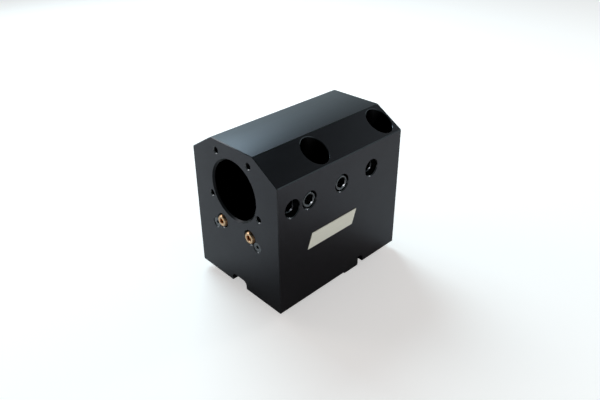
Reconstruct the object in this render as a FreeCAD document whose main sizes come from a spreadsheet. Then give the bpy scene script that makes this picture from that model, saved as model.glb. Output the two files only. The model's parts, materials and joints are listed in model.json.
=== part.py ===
# Boring bar holder for a lathe turret, as a FreeCAD macro. Millimetres.
#
# A steel block carries a boring bar in a bore that runs from front to rear. Four screws in the right side
# clamp the bar. Four cap screws through wells in the sloped shoulders hold the block to the turret, and
# four keys in the crossed keyways of its base line it up. Coolant comes in through the base and leaves
# by two swivelling nozzles under the bore.
#
# The origin is the centre of the mounting screws' pattern, on the base. +Z is up, the front faces -Y, and
# the clamp screws are on +X.

import FreeCAD, Part
import os
import Sketcher

# Driving dimensions: alias, size, what it is.
SIZES = [
    ("block_width", 100.0, "across the block, side to side"),
    ("block_length", 140.0, "front face to rear face"),
    ("block_height", 128.0, "base to top"),
    ("shoulder_width", 25.5, "sloped shoulder, measured across"),
    ("shoulder_drop", 16.0, "sloped shoulder, measured down"),
    ("edge_break", 0.5, "small chamfer on the block's outer edges"),
    ("bore_dia", 50.0, "boring bar's bore"),
    ("bore_height", 90.0, "bore's axis above the base"),
    ("bore_mouth", 1.5, "chamfer at the bore's two mouths"),
    ("pattern_from_front", 88.5, "front face to the centre of the mounting screws"),
    ("bolt_pitch_across", 74.0, "mounting screws, across"),
    ("bolt_pitch_along", 76.0, "mounting screws, along the bore"),
    ("bolt_hole_dia", 15.0, "clearance hole of an M14 mounting screw"),
    ("well_dia", 22.0, "well for the mounting screw's head"),
    ("well_edge", 0.4, "chamfer round a well's mouth"),
    ("well_floor_web", 3.0, "steel between the clamp screws' holes and the wells' floor"),
    ("keyway_width", 18.0, "both keyways"),
    ("keyway_depth", 7.5, "both keyways"),
    ("keyway_corner", 4.0, "radius in the keyways' top corners"),
    ("key_play", 0.02, "key to keyway, each side"),
    ("key_length", 32.0, "one key"),
    ("key_reach", 45.0, "pattern centre to a key's outer end"),
    ("key_standout", 7.0, "key below the base"),
    ("key_lead", 0.8, "chamfer on the key's lower edges"),
    ("key_screw_dia", 6.0, "M6 cap screw"),
    ("key_screw_head_dia", 10.0, "its head"),
    ("key_screw_head_height", 6.0, "its head"),
    ("key_screw_sink", 0.6, "its head above the key's underside"),
    ("key_screw_length", 16.0, "under the head"),
    ("key_screw_flats", 5.0, "hexagon socket"),
    ("key_screw_socket", 3.0, "socket's depth"),
    ("key_thread_depth", 12.0, "tapped hole above the keyway"),
    ("socket_lead", 0.6, "entry cone of a hexagon socket, wider than its corners by this"),
    ("head_play", 0.4, "screw head to its counterbore, each side"),
    ("clamp_dia", 14.0, "M14 clamp screw"),
    ("clamp_first", 14.5, "front face to the first clamp screw"),
    ("clamp_near_pitch", 17.5, "first to second clamp screw"),
    ("clamp_pitch", 35.5, "second to third, and third to fourth"),
    ("clamp_sink_deep", 4.5, "outer clamp screws, below the side face"),
    ("clamp_sink_shallow", 0.7, "inner clamp screws, below the side face"),
    ("clamp_backoff", 0.5, "outer clamp screws' tips, outside the bore"),
    ("clamp_flats", 8.0, "hexagon socket"),
    ("clamp_socket", 8.0, "socket's depth"),
    ("clamp_face_chamfer", 1.2, "chamfer round the socket end"),
    ("clamp_tip_chamfer", 2.0, "chamfer round the tip"),
    ("clamp_mouth_dia", 15.6, "countersunk mouth of a clamp screw's hole"),
    ("screw_play", 0.06, "screw in its hole, each side"),
    ("nozzle_spread", 34.0, "between the two nozzles"),
    ("nozzle_drop", 34.5, "nozzles below the bore's axis"),
    ("ball_dia", 12.0, "nozzle ball"),
    ("ball_play", 0.07, "ball in its pocket, each side"),
    ("ball_standout", 1.2, "ball's flat in front of the face"),
    ("jet_dia", 2.6, "hole through the ball"),
    ("aim_recess_dia", 4.8, "recess in the ball's flat, round the jet"),
    ("aim_recess_depth", 2.8, "its depth"),
    ("aim_recess_mouth", 0.2, "chamfer at its mouth"),
    ("throat_dia", 5.6, "funnel at the back of the ball"),
    ("throat_depth", 2.5, "funnel's depth from the ball's centre"),
    ("pocket_mouth", 0.7, "chamfer at a nozzle pocket's mouth"),
    ("seat_ring_dia", 9.8, "nozzle seat ring, centre line"),
    ("seat_ring_section", 1.8, "nozzle seat ring"),
    ("seat_gap", 0.08, "ball to seat ring"),
    ("lock_across", 8.0, "nozzle to its lock screw, across"),
    ("lock_drop", 5.2, "nozzle to its lock screw, down"),
    ("lock_dia", 4.0, "M4 countersunk lock screw"),
    ("lock_head_dia", 8.0, "its head"),
    ("lock_sink", 0.6, "its head below the front face"),
    ("lock_gap", 0.06, "its rim to the ball"),
    ("lock_length", 12.0, "its whole length"),
    ("lock_flats", 2.5, "hexagon socket"),
    ("lock_socket", 1.6, "socket's depth"),
    ("lock_recess_play", 0.15, "its cone to the countersink"),
    ("lock_run_out", 2.0, "tapped hole beyond the screw's tip"),
    ("screw_end_chamfer", 0.6, "chamfer at the tip of the small screws"),
    ("gallery_dia", 8.0, "coolant galleries"),
    ("channel_back", 19.5, "cross channel in front of the pattern's centre"),
    ("inlet_left", 20.0, "inlet left of the middle"),
    ("inlet_ring_dia", 12.8, "inlet seal ring, centre line"),
    ("inlet_ring_section", 2.5, "inlet seal ring"),
    ("inlet_seat_depth", 1.9, "seat of the ring in the base"),
    ("inlet_ring_play", 0.15, "ring to its seat, outside"),
    ("plug_dia", 10.0, "threaded plug of the cross channel"),
    ("plug_length", 8.0, "plug"),
    ("plug_sink", 0.6, "plug below the left face"),
    ("plug_flats", 5.0, "hexagon socket"),
    ("plug_socket", 4.0, "socket's depth"),
    ("face_upper_spread", 38.0, "upper tapped holes in the front face"),
    ("face_upper_rise", 28.5, "above the bore's axis"),
    ("face_lower_spread", 56.5, "lower tapped holes in the front face"),
    ("face_lower_drop", 12.7, "below the bore's axis"),
    ("face_hole_dia", 5.0, "core of an M6 thread"),
    ("face_hole_mouth", 6.2, "countersunk mouth"),
    ("face_hole_depth", 14.0, "tapped holes"),
    ("plate_length", 51.0, "bare plate on the right side, along its edge"),
    ("plate_slant", 4.8, "how far its ends lean towards the rear"),
    ("plate_height", 12.9, "bare plate"),
    ("plate_thickness", 0.5, "bare plate"),
    ("plate_from_front", 57.5, "front face to the plate's middle"),
    ("plate_above_base", 53.2, "base to the plate's middle"),
]

doc = FreeCAD.newDocument("BoringBarHolder")
sheet = doc.addObject("Spreadsheet::Sheet", "Sizes")
for row, (alias, millimetres, meaning) in enumerate(SIZES, start=1):
    sheet.set(f"A{row}", meaning)
    sheet.set(f"B{row}", str(millimetres))
    sheet.setAlias(f"B{row}", alias)
doc.recompute()

subparts = []


def size(expression):
    """The number that an expression over the sheet gives."""
    return float(sheet.evalExpression(expression))


# Places and sizes that several pieces share, as expressions over the sheet.
HALF_WIDTH = "Sizes.block_width / 2"
FRONT = "Sizes.pattern_from_front"
BORE_RADIUS = "Sizes.bore_dia / 2"
NOZZLE_X = "Sizes.nozzle_spread / 2"
NOZZLE_Z = "(Sizes.bore_height - Sizes.nozzle_drop)"
LOCK_X = f"({NOZZLE_X} + Sizes.lock_across)"
LOCK_Z = f"({NOZZLE_Z} - Sizes.lock_drop)"
LOCK_DISTANCE = "sqrt(Sizes.lock_across^2 + Sizes.lock_drop^2)"
BALL_RADIUS = "Sizes.ball_dia / 2"
POCKET_RADIUS = "(Sizes.ball_dia / 2 + Sizes.ball_play)"
SEAT_RING_TUBE = "Sizes.seat_ring_section / 2"
# The rim of the lock screw's head stops the lock gap short of the ball, which fixes the ball's depth.
BALL_DEPTH = (f"(Sizes.lock_sink + sqrt(({BALL_RADIUS} + Sizes.lock_gap)^2"
              f" - ({LOCK_DISTANCE} - Sizes.lock_head_dia / 2)^2))")
# The seat ring lies behind the ball, the seat gap away, on the pocket's floor.
SEAT_RING_BEHIND = (f"sqrt(({BALL_RADIUS} + {SEAT_RING_TUBE} + Sizes.seat_gap)^2"
                    f" - (Sizes.seat_ring_dia / 2)^2)")
POCKET_DEPTH = f"({BALL_DEPTH} + {SEAT_RING_BEHIND} + {SEAT_RING_TUBE})"
WELL_FLOOR = "(Sizes.bore_height + Sizes.clamp_dia / 2 + Sizes.well_floor_web)"
CLAMP_LENGTH = f"({HALF_WIDTH} - {BORE_RADIUS} - Sizes.clamp_sink_deep - Sizes.clamp_backoff)"
KEY_MIDDLE = "(Sizes.key_reach - Sizes.key_length / 2)"
PLATE_Y = f"(Sizes.plate_from_front - {FRONT})"
CLAMP_PLACES = [
    ("bar_clamp_screw_1", f"(Sizes.clamp_first - {FRONT})", "Sizes.clamp_sink_deep"),
    ("bar_clamp_screw_2", f"(Sizes.clamp_first + Sizes.clamp_near_pitch - {FRONT})",
     "Sizes.clamp_sink_shallow"),
    ("bar_clamp_screw_3", f"(Sizes.clamp_first + Sizes.clamp_near_pitch + Sizes.clamp_pitch - {FRONT})",
     "Sizes.clamp_sink_shallow"),
    ("bar_clamp_screw_4",
     f"(Sizes.clamp_first + Sizes.clamp_near_pitch + 2 * Sizes.clamp_pitch - {FRONT})",
     "Sizes.clamp_sink_deep"),
]
SIDES = [("left", "-"), ("right", "")]


def new_body(label):
    """A body for one sub-part; its label names the file."""
    body = doc.addObject("PartDesign::Body", label)
    body.Label = label
    subparts.append(body)
    return body


def place(piece, x="0", y="0", z="0", axis=(0, 0, 1), angle=0.0):
    """Turn a piece about an axis and put its own origin at x, y, z."""
    piece.Placement = FreeCAD.Placement(FreeCAD.Vector(size(x), size(y), size(z)),
                                        FreeCAD.Rotation(FreeCAD.Vector(*axis), angle))
    for name, expression in (("x", x), ("y", y), ("z", z)):
        piece.setExpression(f"Placement.Base.{name}", expression)


def new_sketch(body, name, plane, offset="0"):
    """An empty sketch on one of the body's own planes, moved along the plane's normal."""
    origin_plane = [item for item in body.Origin.OriginFeatures if item.Role == plane][0]
    sketch = body.newObject("Sketcher::SketchObject", name)
    sketch.AttachmentSupport = [(origin_plane, "")]
    sketch.MapMode = "FlatFace"
    sketch.setExpression("AttachmentOffset.Base.z", offset)
    return sketch


def bind(sketch, name, constraint, expression):
    """Add a named constraint and tie it to the sheet."""
    index = sketch.addConstraint(constraint)
    sketch.renameConstraint(index, name)
    sketch.setExpression(f"Constraints.{name}", expression)


def circles(body, name, plane, offset, diameter, centres):
    """A sketch of equal circles at the given centres."""
    sketch = new_sketch(body, name, plane, offset)
    for number, (x, y) in enumerate(centres):
        centre = FreeCAD.Vector(size(x), size(y), 0)
        radius = size(diameter) / 2
        circle = sketch.addGeometry(Part.Circle(centre, FreeCAD.Vector(0, 0, 1), radius), False)
        bind(sketch, f"across{number}", Sketcher.Constraint("DistanceX", -1, 1, circle, 3, centre.x), x)
        bind(sketch, f"up{number}", Sketcher.Constraint("DistanceY", -1, 1, circle, 3, centre.y), y)
        bind(sketch, f"radius{number}", Sketcher.Constraint("Radius", circle, radius), f"{diameter} / 2")
    doc.recompute()
    return sketch


def outline(body, name, plane, offset, corners):
    """A closed sketch through the corners, each (x, y) or (x, y, centre x, centre y, radius, turn).

    The longer form starts an arc about that centre, which turns anticlockwise for turn 1 and
    clockwise for -1."""
    sketch = new_sketch(body, name, plane, offset)
    points = [FreeCAD.Vector(size(corner[0]), size(corner[1]), 0) for corner in corners]
    edges = []
    for number, corner in enumerate(corners):
        start = points[number]
        end = points[(number + 1) % len(points)]
        if len(corner) == 2:
            geometry = Part.LineSegment(start, end)
            ends = (1, 2)
        else:
            centre = FreeCAD.Vector(size(corner[2]), size(corner[3]), 0)
            circle = Part.Circle(centre, FreeCAD.Vector(0, 0, 1), size(corner[4]))
            turn = corner[5]
            first, last = (start, end) if turn > 0 else (end, start)
            geometry = Part.ArcOfCircle(circle, circle.parameter(first), circle.parameter(last))
            ends = (1, 2) if turn > 0 else (2, 1)
        edges.append((sketch.addGeometry(geometry, False), ends))
    for number, (edge, ends) in enumerate(edges):
        following, next_ends = edges[(number + 1) % len(edges)]
        sketch.addConstraint(Sketcher.Constraint("Coincident", edge, ends[1], following, next_ends[0]))
        corner = corners[number]
        bind(sketch, f"across{number}",
             Sketcher.Constraint("DistanceX", -1, 1, edge, ends[0], points[number].x), corner[0])
        bind(sketch, f"up{number}",
             Sketcher.Constraint("DistanceY", -1, 1, edge, ends[0], points[number].y), corner[1])
        if len(corner) > 2:
            bind(sketch, f"radius{number}", Sketcher.Constraint("Radius", edge, size(corner[4])), corner[4])
    doc.recompute()
    return sketch


def pad(body, name, sketch, length, reverse=False, midplane=False):
    """Grow a sketch along its normal."""
    feature = body.newObject("PartDesign::Pad", name)
    feature.Profile = sketch
    feature.setExpression("Length", length)
    feature.Reversed = reverse
    feature.Midplane = midplane
    doc.recompute()
    return feature


def pocket(body, name, sketch, length=None, reverse=False):
    """Cut a sketch against its normal, to a depth or through everything."""
    feature = body.newObject("PartDesign::Pocket", name)
    feature.Profile = sketch
    feature.Reversed = reverse
    if length is None:
        feature.Type = "ThroughAll"
    else:
        feature.setExpression("Length", length)
    doc.recompute()
    return feature


def revolve(body, name, sketch):
    """Turn a profile drawn beside the upright axis of its plane."""
    feature = body.newObject("PartDesign::Revolution", name)
    feature.Profile = sketch
    feature.ReferenceAxis = (sketch, ["V_Axis"])
    feature.Angle = 360.0
    doc.recompute()
    return feature


def drill(body, name, sketch, diameter, depth=None, reverse=False, cut=None, cut_diameter=None,
          cut_depth=None, pointed=True):
    """Holes at a sketch's circles, with a counterbore or a 90 degree countersink where one is given."""
    feature = body.newObject("PartDesign::Hole", name)
    feature.Profile = sketch
    doc.recompute()
    feature.ThreadType = "None"
    feature.Reversed = reverse
    feature.setExpression("Diameter", diameter)
    if depth is None:
        feature.DepthType = "ThroughAll"
    else:
        feature.DepthType = "Dimension"
        feature.DrillPoint = "Angled" if pointed else "Flat"
        feature.setExpression("Depth", depth)
    if cut is not None:
        feature.HoleCutType = cut
        feature.HoleCutCustomValues = True
        feature.setExpression("HoleCutDiameter", cut_diameter)
        if cut_depth is not None:
            feature.setExpression("HoleCutDepth", cut_depth)
        if cut == "Countersink":
            feature.HoleCutCountersinkAngle = 90.0
    doc.recompute()
    return feature


def chamfer_edges(body, name, feature, chosen, amount):
    """Chamfer those edges of a feature that a test picks."""
    edges = [f"Edge{number}" for number, edge in enumerate(feature.Shape.Edges, start=1) if chosen(edge)]
    chamfer = body.newObject("PartDesign::Chamfer", name)
    chamfer.Base = (feature, edges)
    chamfer.setExpression("Size", amount)
    doc.recompute()
    return chamfer


def is_circle(edge, radius):
    """Whether an edge is a full circle of the radius that an expression gives."""
    whole = isinstance(edge.Curve, Part.Circle) and edge.isClosed()
    return whole and abs(edge.Curve.Radius - size(radius)) < Part.Precision.confusion()


def is_between_ends(edge):
    """Whether an edge lies clear of the block's front and rear edge breaks."""
    front = size(f"Sizes.edge_break - {FRONT}")
    rear = size(f"Sizes.block_length - {FRONT} - Sizes.edge_break")
    return edge.BoundBox.YMin > front and edge.BoundBox.YMax < rear


def hexagon(body, name, flats, offset="0"):
    """A hexagon across the given flats, round the body's own Z axis."""
    corners = []
    for number in range(6):
        corners.append((f"{flats} / sqrt(3) * cos({60 * number} deg)",
                        f"{flats} / sqrt(3) * sin({60 * number} deg)"))
    return outline(body, name, "XY_Plane", offset, corners)


# The block

def holder_body():
    body = new_body("holder_body")
    shoulder_x = f"({HALF_WIDTH} - Sizes.shoulder_width)"
    shoulder_z = "(Sizes.block_height - Sizes.shoulder_drop)"
    profile = outline(body, "block_profile", "XZ_Plane", FRONT, [
        (f"-{HALF_WIDTH}", "0"),
        (HALF_WIDTH, "0"),
        (HALF_WIDTH, shoulder_z),
        (shoulder_x, "Sizes.block_height"),
        (f"-{shoulder_x}", "Sizes.block_height"),
        (f"-{HALF_WIDTH}", shoulder_z),
    ])
    block = pad(body, "block", profile, "Sizes.block_length", reverse=True)
    chamfer_edges(body, "edge_breaks", block, lambda edge: True, "Sizes.edge_break")
    cut_keyways(body)
    cut_bore(body)
    cut_mounting_wells(body)
    cut_clamp_holes(body)
    cut_coolant_galleries(body)
    cut_lock_holes(body)
    cut_small_threads(body)
    return body


def cut_keyways(body):
    """Two crossed keyways with rounded top corners, each open at both ends."""
    half = "Sizes.keyway_width / 2"
    corner = "Sizes.keyway_corner"
    depth = "Sizes.keyway_depth"
    below = "0 - Sizes.keyway_depth"
    section = [
        (f"{half}", below),
        (f"{half}", f"({depth} - {corner})", f"({half} - {corner})", f"({depth} - {corner})", corner, 1),
        (f"({half} - {corner})", depth),
        (f"-({half} - {corner})", depth, f"-({half} - {corner})", f"({depth} - {corner})", corner, 1),
        (f"-{half}", f"({depth} - {corner})"),
        (f"-{half}", below),
    ]
    along = outline(body, "keyway_along_section", "XZ_Plane", FRONT, section)
    pocket(body, "keyway_along", along)
    across = outline(body, "keyway_across_section", "YZ_Plane", HALF_WIDTH, section)
    pocket(body, "keyway_across", across)


def cut_bore(body):
    """The bar's bore, with a chamfer at each mouth."""
    circle = circles(body, "bore_circle", "XZ_Plane", FRONT, "Sizes.bore_dia", [("0", "Sizes.bore_height")])
    bore = pocket(body, "bore", circle)
    chamfer_edges(body, "bore_mouths", bore, lambda edge: is_circle(edge, BORE_RADIUS), "Sizes.bore_mouth")


def cut_mounting_wells(body):
    """Four holes down through the shoulders, counterbored deep for the cap screws' heads."""
    x = "Sizes.bolt_pitch_across / 2"
    y = "Sizes.bolt_pitch_along / 2"
    places = circles(body, "mounting_places", "XY_Plane", "Sizes.block_height", "Sizes.bolt_hole_dia",
                     [(x, y), (f"-{x}", y), (f"-{x}", f"-{y}"), (x, f"-{y}")])
    wells = drill(body, "mounting_wells", places, "Sizes.bolt_hole_dia", cut="Counterbore",
                  cut_diameter="Sizes.well_dia", cut_depth=f"Sizes.block_height - {WELL_FLOOR}")
    # A well's mouth in its sloped shoulder is an ellipse. One that breaks out of an end face stays sharp.
    chamfer_edges(body, "well_edges", wells,
                  lambda edge: isinstance(edge.Curve, Part.Ellipse) and is_between_ends(edge),
                  "Sizes.well_edge")


def cut_clamp_holes(body):
    """The clamp screws' holes, from the right side into the bore."""
    centres = [(y, "Sizes.bore_height") for label, y, sink in CLAMP_PLACES]
    places = circles(body, "clamp_places", "YZ_Plane", HALF_WIDTH, "Sizes.clamp_dia", centres)
    drill(body, "clamp_holes", places, "Sizes.clamp_dia + 2 * Sizes.screw_play", depth=HALF_WIDTH,
          cut="Countersink", cut_diameter="Sizes.clamp_mouth_dia", pointed=False)


def cut_coolant_galleries(body):
    """Inlet in the base, cross channel from the left side, and a gallery to each nozzle."""
    channel = "-Sizes.channel_back"
    inlet = circles(body, "inlet_place", "XY_Plane", "0", "Sizes.gallery_dia",
                    [("-Sizes.inlet_left", channel)])
    drill(body, "inlet", inlet, "Sizes.gallery_dia", depth=NOZZLE_Z, reverse=True, cut="Counterbore",
          cut_diameter="Sizes.inlet_ring_dia + Sizes.inlet_ring_section + 2 * Sizes.inlet_ring_play",
          cut_depth="Sizes.inlet_seat_depth", pointed=False)
    cross = circles(body, "cross_channel_place", "YZ_Plane", f"-{HALF_WIDTH}", "Sizes.gallery_dia",
                    [(channel, NOZZLE_Z)])
    drill(body, "cross_channel", cross, "Sizes.gallery_dia", depth=f"{HALF_WIDTH} + {NOZZLE_X}",
          reverse=True, cut="Counterbore", cut_diameter="Sizes.plug_dia + 2 * Sizes.screw_play",
          cut_depth="Sizes.plug_length + Sizes.plug_sink")
    galleries = circles(body, "gallery_places", "XZ_Plane", FRONT, "Sizes.gallery_dia",
                        [(NOZZLE_X, NOZZLE_Z), (f"-{NOZZLE_X}", NOZZLE_Z)])
    pockets = drill(body, "galleries", galleries, "Sizes.gallery_dia",
                    depth=f"{FRONT} - Sizes.channel_back", cut="Counterbore",
                    cut_diameter="Sizes.ball_dia + 2 * Sizes.ball_play", cut_depth=POCKET_DEPTH)
    chamfer_edges(body, "pocket_mouths", pockets,
                  lambda edge: is_circle(edge, POCKET_RADIUS) and edge.BoundBox.YMin < -size(FRONT) + 1,
                  "Sizes.pocket_mouth")


def cut_lock_holes(body):
    """Countersunk holes of the lock screws, which break into the balls' pockets."""
    places = circles(body, "lock_places", "XZ_Plane", FRONT, "Sizes.lock_dia",
                     [(LOCK_X, LOCK_Z), (f"-{LOCK_X}", LOCK_Z)])
    mouth = "Sizes.lock_head_dia + 2 * (Sizes.lock_sink + Sizes.lock_recess_play)"
    drill(body, "lock_holes", places, "Sizes.lock_dia + 2 * Sizes.screw_play",
          depth="Sizes.lock_sink + Sizes.lock_length + Sizes.lock_run_out", cut="Countersink",
          cut_diameter=mouth)


def cut_small_threads(body):
    """Tapped holes in the front face, and those of the key screws in the keyways' roof."""
    upper_x = "Sizes.face_upper_spread / 2"
    lower_x = "Sizes.face_lower_spread / 2"
    upper_z = "(Sizes.bore_height + Sizes.face_upper_rise)"
    lower_z = "(Sizes.bore_height - Sizes.face_lower_drop)"
    face = circles(body, "face_places", "XZ_Plane", FRONT, "Sizes.face_hole_dia",
                   [(upper_x, upper_z), (f"-{upper_x}", upper_z), (lower_x, lower_z), (f"-{lower_x}", lower_z)])
    drill(body, "face_threads", face, "Sizes.face_hole_dia", depth="Sizes.face_hole_depth",
          cut="Countersink", cut_diameter="Sizes.face_hole_mouth")
    keys = circles(body, "key_screw_places", "XY_Plane", "0", "Sizes.key_screw_dia",
                   [(KEY_MIDDLE, "0"), (f"-{KEY_MIDDLE}", "0"), ("0", KEY_MIDDLE), ("0", f"-{KEY_MIDDLE}")])
    drill(body, "key_threads", keys, "Sizes.key_screw_dia + 2 * Sizes.screw_play",
          depth="Sizes.keyway_depth + Sizes.key_thread_depth", reverse=True)


# Screws and plugs, each built with its socket end at its own origin and its tip below

def socket_mouth(flats):
    """Radius of a hexagon socket's entry cone, as an expression."""
    return f"({flats} / sqrt(3) + Sizes.socket_lead / 2)"


def socket_screw(label, radius, length, flats, socket_depth, face_chamfer, tip_chamfer):
    """A headless screw with a hexagon socket."""
    body = new_body(label)
    mouth = socket_mouth(flats)
    profile = outline(body, f"{label}_profile", "XZ_Plane", "0", [
        ("0", f"-{mouth} * tan(30 deg)"),
        (mouth, "0"),
        (f"{radius} - {face_chamfer}", "0"),
        (radius, f"-{face_chamfer}"),
        (radius, f"{tip_chamfer} - {length}"),
        (f"{radius} - {tip_chamfer}", f"-{length}"),
        ("0", f"-{length}"),
    ])
    revolve(body, f"{label}_shank", profile)
    pocket(body, f"{label}_socket", hexagon(body, f"{label}_hexagon", flats), socket_depth)
    return body


def clamp_screws():
    for label, y, sink in CLAMP_PLACES:
        screw = socket_screw(label, "Sizes.clamp_dia / 2", CLAMP_LENGTH, "Sizes.clamp_flats",
                             "Sizes.clamp_socket", "Sizes.clamp_face_chamfer", "Sizes.clamp_tip_chamfer")
        place(screw, f"{HALF_WIDTH} - {sink}", y, "Sizes.bore_height", axis=(0, 1, 0), angle=90)


def cross_channel_plug():
    plug = socket_screw("cross_channel_plug", "Sizes.plug_dia / 2", "Sizes.plug_length", "Sizes.plug_flats",
                        "Sizes.plug_socket", "Sizes.screw_end_chamfer", "Sizes.screw_end_chamfer")
    place(plug, f"Sizes.plug_sink - {HALF_WIDTH}", "-Sizes.channel_back", NOZZLE_Z,
          axis=(0, 1, 0), angle=-90)


def lock_screw(side, sign):
    """Countersunk screw whose head's rim holds the nozzle ball in its pocket."""
    label = f"nozzle_lock_screw_{side}"
    body = new_body(label)
    head = "Sizes.lock_head_dia / 2"
    shank = "Sizes.lock_dia / 2"
    mouth = socket_mouth("Sizes.lock_flats")
    profile = outline(body, f"{label}_profile", "XZ_Plane", "0", [
        ("0", f"-{mouth} * tan(30 deg)"),
        (mouth, "0"),
        (head, "0"),
        (shank, f"{shank} - {head}"),
        (shank, "Sizes.screw_end_chamfer - Sizes.lock_length"),
        (f"{shank} - Sizes.screw_end_chamfer", "-Sizes.lock_length"),
        ("0", "-Sizes.lock_length"),
    ])
    revolve(body, f"{label}_shank", profile)
    pocket(body, f"{label}_socket", hexagon(body, f"{label}_hexagon", "Sizes.lock_flats"),
           "Sizes.lock_socket")
    place(body, f"{sign}{LOCK_X}", f"Sizes.lock_sink - {FRONT}", LOCK_Z, axis=(1, 0, 0), angle=90)


def key_screw(label, x, y):
    """Cap screw that holds a key up in its keyway."""
    body = new_body(label)
    head = "Sizes.key_screw_head_dia / 2"
    shank = "Sizes.key_screw_dia / 2"
    neck = "Sizes.key_screw_head_height"
    tip = "(Sizes.key_screw_head_height + Sizes.key_screw_length)"
    mouth = socket_mouth("Sizes.key_screw_flats")
    profile = outline(body, f"{label}_profile", "XZ_Plane", "0", [
        ("0", f"-{mouth} * tan(30 deg)"),
        (mouth, "0"),
        (f"{head} - Sizes.screw_end_chamfer", "0"),
        (head, "-Sizes.screw_end_chamfer"),
        (head, f"-{neck}"),
        (shank, f"-{neck}"),
        (shank, f"Sizes.screw_end_chamfer - {tip}"),
        (f"{shank} - Sizes.screw_end_chamfer", f"-{tip}"),
        ("0", f"-{tip}"),
    ])
    revolve(body, f"{label}_shank", profile)
    pocket(body, f"{label}_socket", hexagon(body, f"{label}_hexagon", "Sizes.key_screw_flats"),
           "Sizes.key_screw_socket")
    place(body, x, y, "Sizes.key_screw_sink - Sizes.key_standout", axis=(1, 0, 0), angle=180)


# Keys

def locating_key(label, x, y, angle):
    """A key with its screw's counterbore, drawn across and grown along its own X axis."""
    body = new_body(label)
    half = "(Sizes.keyway_width / 2 - Sizes.key_play)"
    roof = "Sizes.keyway_depth"
    foot = "(0 - Sizes.key_standout)"
    # The upper edges clear the keyway's rounded corners.
    relief = "Sizes.keyway_corner"
    lead = "Sizes.key_lead"
    section = outline(body, f"{label}_section", "YZ_Plane", "0", [
        (f"-{half} + {lead}", foot),
        (f"{half} - {lead}", foot),
        (half, f"{foot} + {lead}"),
        (half, f"{roof} - {relief}"),
        (f"{half} - {relief}", roof),
        (f"-{half} + {relief}", roof),
        (f"-{half}", f"{roof} - {relief}"),
        (f"-{half}", f"{foot} + {lead}"),
    ])
    pad(body, f"{label}_bar", section, "Sizes.key_length", midplane=True)
    screw_place = circles(body, f"{label}_screw_place", "XY_Plane", foot, "Sizes.key_screw_dia",
                          [("0", "0")])
    drill(body, f"{label}_hole", screw_place, "Sizes.key_screw_dia + 2 * Sizes.head_play", reverse=True,
          cut="Counterbore", cut_diameter="Sizes.key_screw_head_dia + 2 * Sizes.head_play",
          cut_depth="Sizes.key_screw_head_height + Sizes.key_screw_sink")
    place(body, x, y, "0", angle=angle)


def keys():
    places = [
        ("right", KEY_MIDDLE, "0"),
        ("rear", "0", KEY_MIDDLE),
        ("left", f"-{KEY_MIDDLE}", "0"),
        ("front", "0", f"-{KEY_MIDDLE}"),
    ]
    for quarter_turns, (where, x, y) in enumerate(places):
        locating_key(f"locating_key_{where}", x, y, 90 * quarter_turns)
        key_screw(f"key_screw_{where}", x, y)


# Nozzles and seals

def nozzle_ball(side, sign):
    """A ball with a recess in its flat, a jet through it and a funnel behind, turned about its jet."""
    label = f"coolant_nozzle_{side}"
    body = new_body(label)
    flat = f"({BALL_DEPTH} + Sizes.ball_standout)"
    jet = "Sizes.jet_dia / 2"
    recess = "Sizes.aim_recess_dia / 2"
    throat = "Sizes.throat_dia / 2"
    profile = outline(body, f"{label}_profile", "XZ_Plane", "0", [
        (jet, f"{flat} - Sizes.aim_recess_depth"),
        (jet, "0 - Sizes.throat_depth"),
        (throat, f"-sqrt(({BALL_RADIUS})^2 - ({throat})^2)", "0", "0", BALL_RADIUS, 1),
        (f"sqrt(({BALL_RADIUS})^2 - {flat}^2)", flat),
        (f"{recess} + Sizes.aim_recess_mouth", flat),
        (recess, f"{flat} - Sizes.aim_recess_mouth"),
        (recess, f"{flat} - Sizes.aim_recess_depth"),
    ])
    revolve(body, f"{label}_ball", profile)
    place(body, f"{sign}{NOZZLE_X}", f"{BALL_DEPTH} - {FRONT}", NOZZLE_Z, axis=(1, 0, 0), angle=90)


def seal_ring(label, diameter, section, x, y, z, axis, angle):
    """An O-ring, given by its centre line and its section."""
    ring = doc.addObject("Part::Torus", label)
    ring.Label = label
    ring.setExpression("Radius1", f"{diameter} / 2")
    ring.setExpression("Radius2", f"{section} / 2")
    place(ring, x, y, z, axis, angle)
    subparts.append(ring)


def seals():
    for side, sign in SIDES:
        seal_ring(f"nozzle_seat_ring_{side}", "Sizes.seat_ring_dia", "Sizes.seat_ring_section",
                  f"{sign}{NOZZLE_X}", f"{BALL_DEPTH} + {SEAT_RING_BEHIND} - {FRONT}", NOZZLE_Z,
                  (1, 0, 0), 90)
    seal_ring("inlet_seal_ring", "Sizes.inlet_ring_dia", "Sizes.inlet_ring_section", "-Sizes.inlet_left",
              "-Sizes.channel_back", "Sizes.inlet_seat_depth - Sizes.inlet_ring_section / 2",
              (0, 0, 1), 0)


# Bare plate on the right side

def side_plate():
    """A flat plate with slanted ends and nothing on it."""
    body = new_body("side_plate")
    near_end = "(Sizes.plate_length / 2 - Sizes.plate_slant / 2)"
    far_end = "(Sizes.plate_length / 2 + Sizes.plate_slant / 2)"
    half_height = "(Sizes.plate_height / 2)"
    shape = outline(body, "plate_outline", "YZ_Plane", "0", [
        (f"-{far_end}", f"-{half_height}"),
        (near_end, f"-{half_height}"),
        (far_end, half_height),
        (f"-{near_end}", half_height),
    ])
    pad(body, "plate", shape, "Sizes.plate_thickness")
    place(body, HALF_WIDTH, PLATE_Y, "Sizes.plate_above_base")


def check(subpart):
    """Stop on a failed feature or a shape that isn't one closed, valid solid."""
    shape = subpart.Shape
    if shape.isNull() or not shape.isValid() or len(shape.Solids) != 1:
        raise RuntimeError(f"{subpart.Label}: the shape isn't one valid solid")


holder_body()
clamp_screws()
for side, sign in SIDES:
    nozzle_ball(side, sign)
    lock_screw(side, sign)
seals()
keys()
cross_channel_plug()
side_plate()
doc.recompute()

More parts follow.
